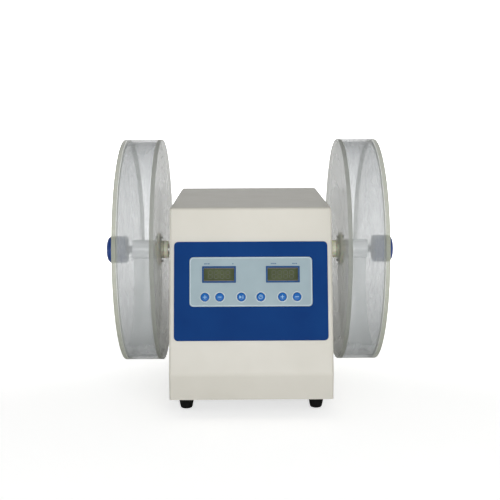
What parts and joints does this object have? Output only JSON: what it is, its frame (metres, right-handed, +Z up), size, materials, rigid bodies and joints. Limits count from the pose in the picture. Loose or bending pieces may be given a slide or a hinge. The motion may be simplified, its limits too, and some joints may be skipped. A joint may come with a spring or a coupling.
{
  "type": "tablet friability tester",
  "caption": "Benchtop friability tester: sloping control cabinet on rubber feet with a clear acrylic drum on each end of a horizontal shaft.",
  "frame": {"origin": "on the floor under the middle of the drum shaft, which is the centre of the bounding box's base", "axes": "+X along the shaft to the user's right, -Y towards the user who reads the panel, +Z up"},
  "size_m": [0.384, 0.294, 0.329],
  "materials": {
    "cream_paint": "satin powder coat",
    "blue_panel": "printed film on sheet, satin",
    "pale_membrane": "printed membrane, satin",
    "key_blue": "gloss",
    "display_glass": "gloss",
    "clear_acrylic": "clear, polished",
    "nylon": "turned",
    "knob_blue": "moulded, gloss",
    "stainless_steel": "turned",
    "dark_steel": "blackened",
    "zinc_plate": "zinc plated",
    "rubber": "moulded",
    "black_plastic": "moulded, satin",
    "circuit_board": "solder mask",
    "transformer_steel": "varnished laminations",
    "gear_plastic": "machined acetal"
  },
  "bodies": {
    "cabinet": {"cabinet_shell": "cream_paint", "rear_panel": "cream_paint", "base_plate": "zinc_plate", "control_panel": "blue_panel", "keypad_membrane": "pale_membrane", "display_left": "display_glass", "display_right": "display_glass", "control_board": "circuit_board", "gear_motor": "zinc_plate", "motor_bracket": "zinc_plate", "turn_sensor": "black_plastic", "power_board": "circuit_board", "transformer": "transformer_steel", "mains_inlet": "black_plastic", "switch_frame": "black_plastic", "foot_front_left": "rubber", "foot_front_right": "rubber", "foot_rear_left": "rubber", "foot_rear_right": "rubber", "rear_screw_1": "stainless_steel", "rear_screw_2": "stainless_steel", "rear_screw_3": "stainless_steel", "rear_screw_4": "stainless_steel", "bearing_housing_left": "zinc_plate", "bearing_left": "stainless_steel", "shaft_seal_left": "nylon", "bearing_housing_right": "zinc_plate", "bearing_right": "stainless_steel", "shaft_seal_right": "nylon"},
    "rotor": {"main_shaft": "stainless_steel", "driven_gear": "gear_plastic", "counter_disc": "black_plastic", "hub_flange_left": "nylon", "drum_back_plate_left": "clear_acrylic", "drum_ring_left": "clear_acrylic", "drum_hub_tube_left": "clear_acrylic", "drum_slide_left": "clear_acrylic", "flange_screw_left_top": "dark_steel", "flange_screw_left_bottom": "dark_steel", "hub_flange_right": "nylon", "drum_back_plate_right": "clear_acrylic", "drum_ring_right": "clear_acrylic", "drum_hub_tube_right": "clear_acrylic", "drum_slide_right": "clear_acrylic", "flange_screw_right_top": "dark_steel", "flange_screw_right_bottom": "dark_steel"},
    "pinion": {"motor_pinion": "stainless_steel", "motor_shaft": "stainless_steel"},
    "cover_left": {"drum_cover_left": "clear_acrylic"},
    "cover_right": {"drum_cover_right": "clear_acrylic"},
    "knob_left": {"drum_knob_left": "knob_blue"},
    "knob_right": {"drum_knob_right": "knob_blue"},
    "key_1": {"key_1": "key_blue"},
    "key_2": {"key_2": "key_blue"},
    "key_3": {"key_3": "key_blue"},
    "key_4": {"key_4": "key_blue"},
    "key_5": {"key_5": "key_blue"},
    "key_6": {"key_6": "key_blue"},
    "power_rocker": {"power_rocker": "black_plastic"},
    "fuse_drawer": {"fuse_drawer": "black_plastic"}
  },
  "joints": [
    {"name": "drum_spin", "type": "hinge", "parent": "cabinet", "child": "rotor", "pos_m": [0, 0, 0.182], "axis": [1, 0, 0], "continuous": true},
    {"name": "pinion_spin", "type": "hinge", "parent": "cabinet", "child": "pinion", "pos_m": [0, 0, 0.137], "axis": [1, 0, 0], "continuous": true},
    {"name": "cover_off_left", "type": "slide", "parent": "rotor", "child": "cover_left", "axis": [-1, 0, 0], "range_m": [0, 0.07]},
    {"name": "knob_off_left", "type": "slide", "parent": "rotor", "child": "knob_left", "axis": [-1, 0, 0], "range_m": [0, 0.098]},
    {"name": "cover_off_right", "type": "slide", "parent": "rotor", "child": "cover_right", "axis": [1, 0, 0], "range_m": [0, 0.07]},
    {"name": "knob_off_right", "type": "slide", "parent": "rotor", "child": "knob_right", "axis": [1, 0, 0], "range_m": [0, 0.098]},
    {"name": "key_1_press", "type": "slide", "parent": "cabinet", "child": "key_1", "axis": [0, 0.9615, -0.2747], "range_m": [0, 0.0006], "stiffness_N_per_m": 500, "springref_m": -0.001},
    {"name": "key_2_press", "type": "slide", "parent": "cabinet", "child": "key_2", "axis": [0, 0.9615, -0.2747], "range_m": [0, 0.0006], "stiffness_N_per_m": 500, "springref_m": -0.001},
    {"name": "key_3_press", "type": "slide", "parent": "cabinet", "child": "key_3", "axis": [0, 0.9615, -0.2747], "range_m": [0, 0.0006], "stiffness_N_per_m": 500, "springref_m": -0.001},
    {"name": "key_4_press", "type": "slide", "parent": "cabinet", "child": "key_4", "axis": [0, 0.9615, -0.2747], "range_m": [0, 0.0006], "stiffness_N_per_m": 500, "springref_m": -0.001},
    {"name": "key_5_press", "type": "slide", "parent": "cabinet", "child": "key_5", "axis": [0, 0.9615, -0.2747], "range_m": [0, 0.0006], "stiffness_N_per_m": 500, "springref_m": -0.001},
    {"name": "key_6_press", "type": "slide", "parent": "cabinet", "child": "key_6", "axis": [0, 0.9615, -0.2747], "range_m": [0, 0.0006], "stiffness_N_per_m": 500, "springref_m": -0.001},
    {"name": "power_switch", "type": "hinge", "parent": "cabinet", "child": "power_rocker", "pos_m": [0.012, 0.133, 0.078], "axis": [1, 0, 0], "range_deg": [0, 20]},
    {"name": "fuse_drawer_pull", "type": "slide", "parent": "cabinet", "child": "fuse_drawer", "axis": [0, 1, 0], "range_m": [0, 0.012]}
  ],
  "couplings": [
    {"joint": "pinion_spin", "follows": "drum_spin", "ratio": -3},
    {"joint": "knob_off_left", "follows": "cover_off_left", "ratio": 1.4},
    {"joint": "knob_off_right", "follows": "cover_off_right", "ratio": 1.4}
  ]
}
